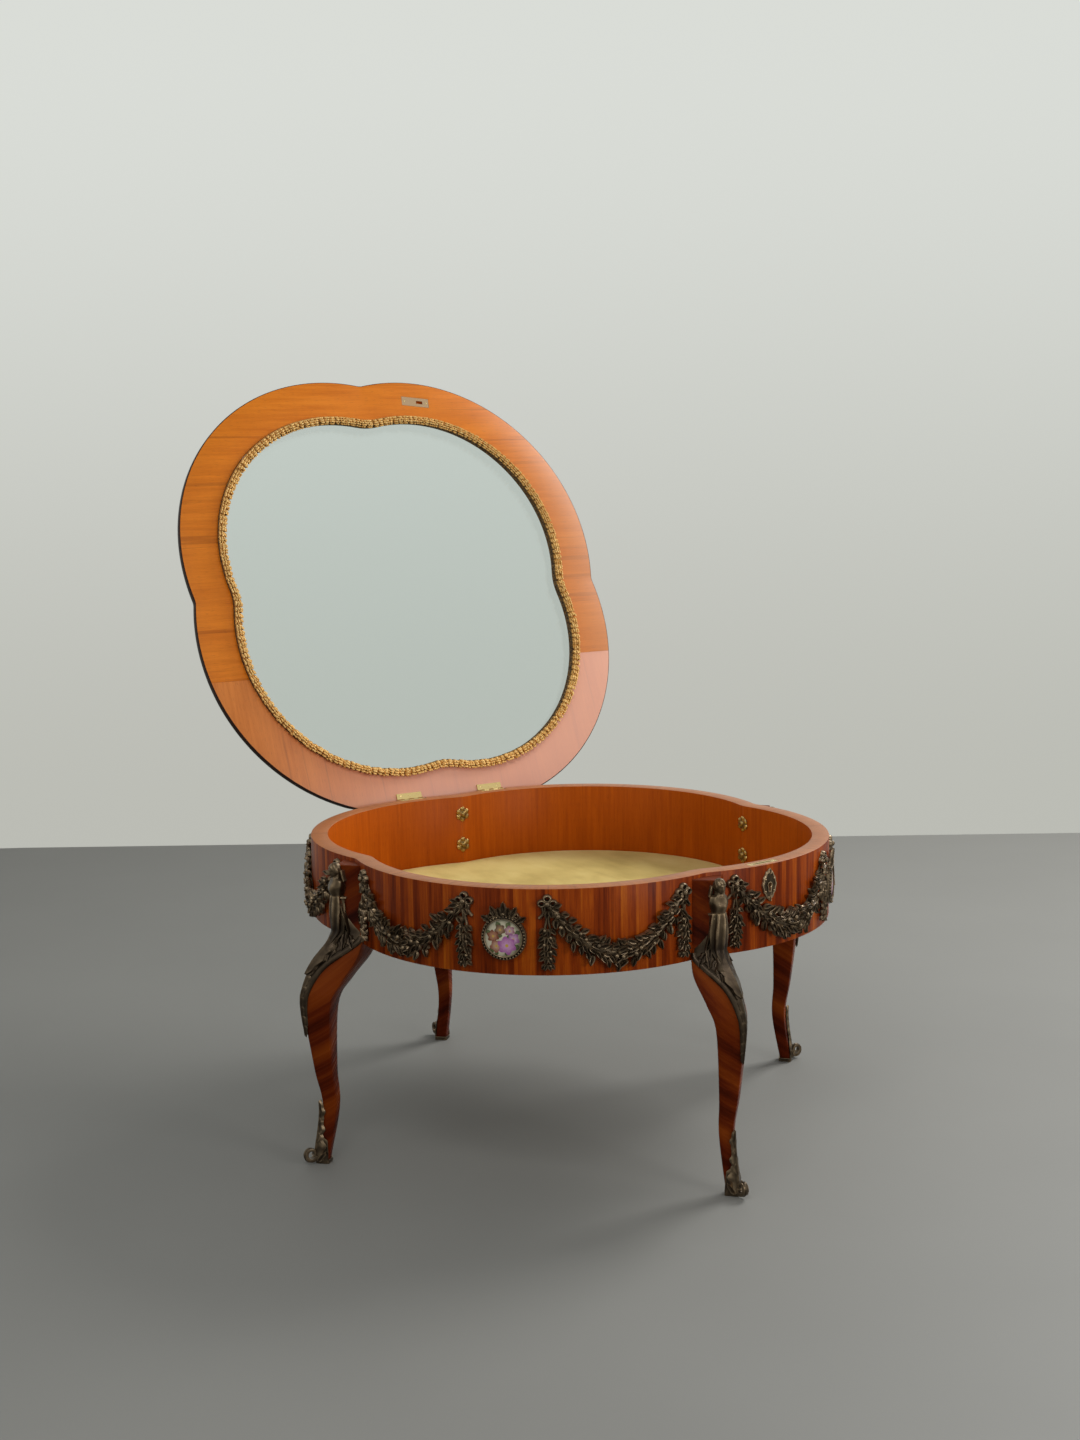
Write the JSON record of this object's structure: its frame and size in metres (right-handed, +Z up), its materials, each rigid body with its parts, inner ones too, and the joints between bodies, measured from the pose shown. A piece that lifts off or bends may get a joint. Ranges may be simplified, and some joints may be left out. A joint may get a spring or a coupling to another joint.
{
  "type": "centre table",
  "caption": "Low quatrefoil display table: a veneered case with a velvet-lined well on cabriole legs with bronze mounts, under a hinged, glazed lid that locks.",
  "frame": {"origin": "on the floor, under the middle of the table's outline with its lid open", "axes": "+Z up, +Y from the lock side to the hinge side, +X along the hinge line, to the right seen from the lock side"},
  "size_m": [0.9794, 1.2471, 1.2264],
  "materials": {
    "dark_veneer": "polished, red-brown",
    "pale_veneer": "polished, orange-brown",
    "plain_board": "bare",
    "velvet": "short pile",
    "gold_braid": "looped, satin",
    "glass": "clear, bevelled",
    "porcelain": "glossy, painted",
    "bronze": "dark patina, cast",
    "brass": "satin, aged",
    "lock_steel": "dull"
  },
  "bodies": {
    "case": {"apron_back_left": "dark_veneer", "apron_back_right": "dark_veneer", "apron_front_left": "dark_veneer", "apron_front_right": "dark_veneer", "bottom_panel": "plain_board", "bust_mount_back": "bronze", "bust_mount_front": "bronze", "bust_mount_left": "bronze", "bust_mount_right": "bronze", "escutcheon": "bronze", "garland_back_left_far": "bronze", "garland_back_left_near": "bronze", "garland_back_right_far": "bronze", "garland_back_right_near": "bronze", "garland_front_left_far": "bronze", "garland_front_left_near": "bronze", "garland_front_right_far": "bronze", "garland_front_right_near": "bronze", "hinge_case_leaf_left": "brass", "hinge_case_leaf_right": "brass", "hinge_pin_left": "brass", "hinge_pin_right": "brass", "leg_back": "dark_veneer", "leg_bolt_back_lower": "brass", "leg_bolt_back_upper": "brass", "leg_bolt_front_lower": "brass", "leg_bolt_front_upper": "brass", "leg_bolt_left_lower": "brass", "leg_bolt_left_upper": "brass", "leg_bolt_right_lower": "brass", "leg_bolt_right_upper": "brass", "leg_front": "dark_veneer", "leg_left": "dark_veneer", "leg_right": "dark_veneer", "lock_body": "lock_steel", "plaque_back_left": "porcelain", "plaque_back_right": "porcelain", "plaque_frame_back_left": "bronze", "plaque_frame_back_right": "bronze", "plaque_frame_front_left": "bronze", "plaque_frame_front_right": "bronze", "plaque_front_left": "porcelain", "plaque_front_right": "porcelain", "sabot_back": "bronze", "sabot_front": "bronze", "sabot_left": "bronze", "sabot_right": "bronze", "velvet_lining": "velvet"},
    "lid": {"lid_frame_front": "pale_veneer", "lid_frame_back": "pale_veneer", "glass_pane": "glass", "braid_trim": "gold_braid", "striker_plate": "brass", "hinge_lid_leaf_left": "brass", "hinge_lid_leaf_right": "brass"},
    "lock_hook": {"lock_hook": "lock_steel"}
  },
  "joints": [
    {"name": "lid_hinge", "type": "hinge", "parent": "case", "child": "lid", "pos_m": [0, 0.26794, 0.4737], "axis": [1, 0, 0], "range_deg": [0, 113.8]},
    {"name": "lock_turn", "type": "hinge", "parent": "case", "child": "lock_hook", "pos_m": [0.11118, -0.51546, 0.466], "axis": [0.1132, -0.9936, 0], "range_deg": [0, 65]}
  ]
}
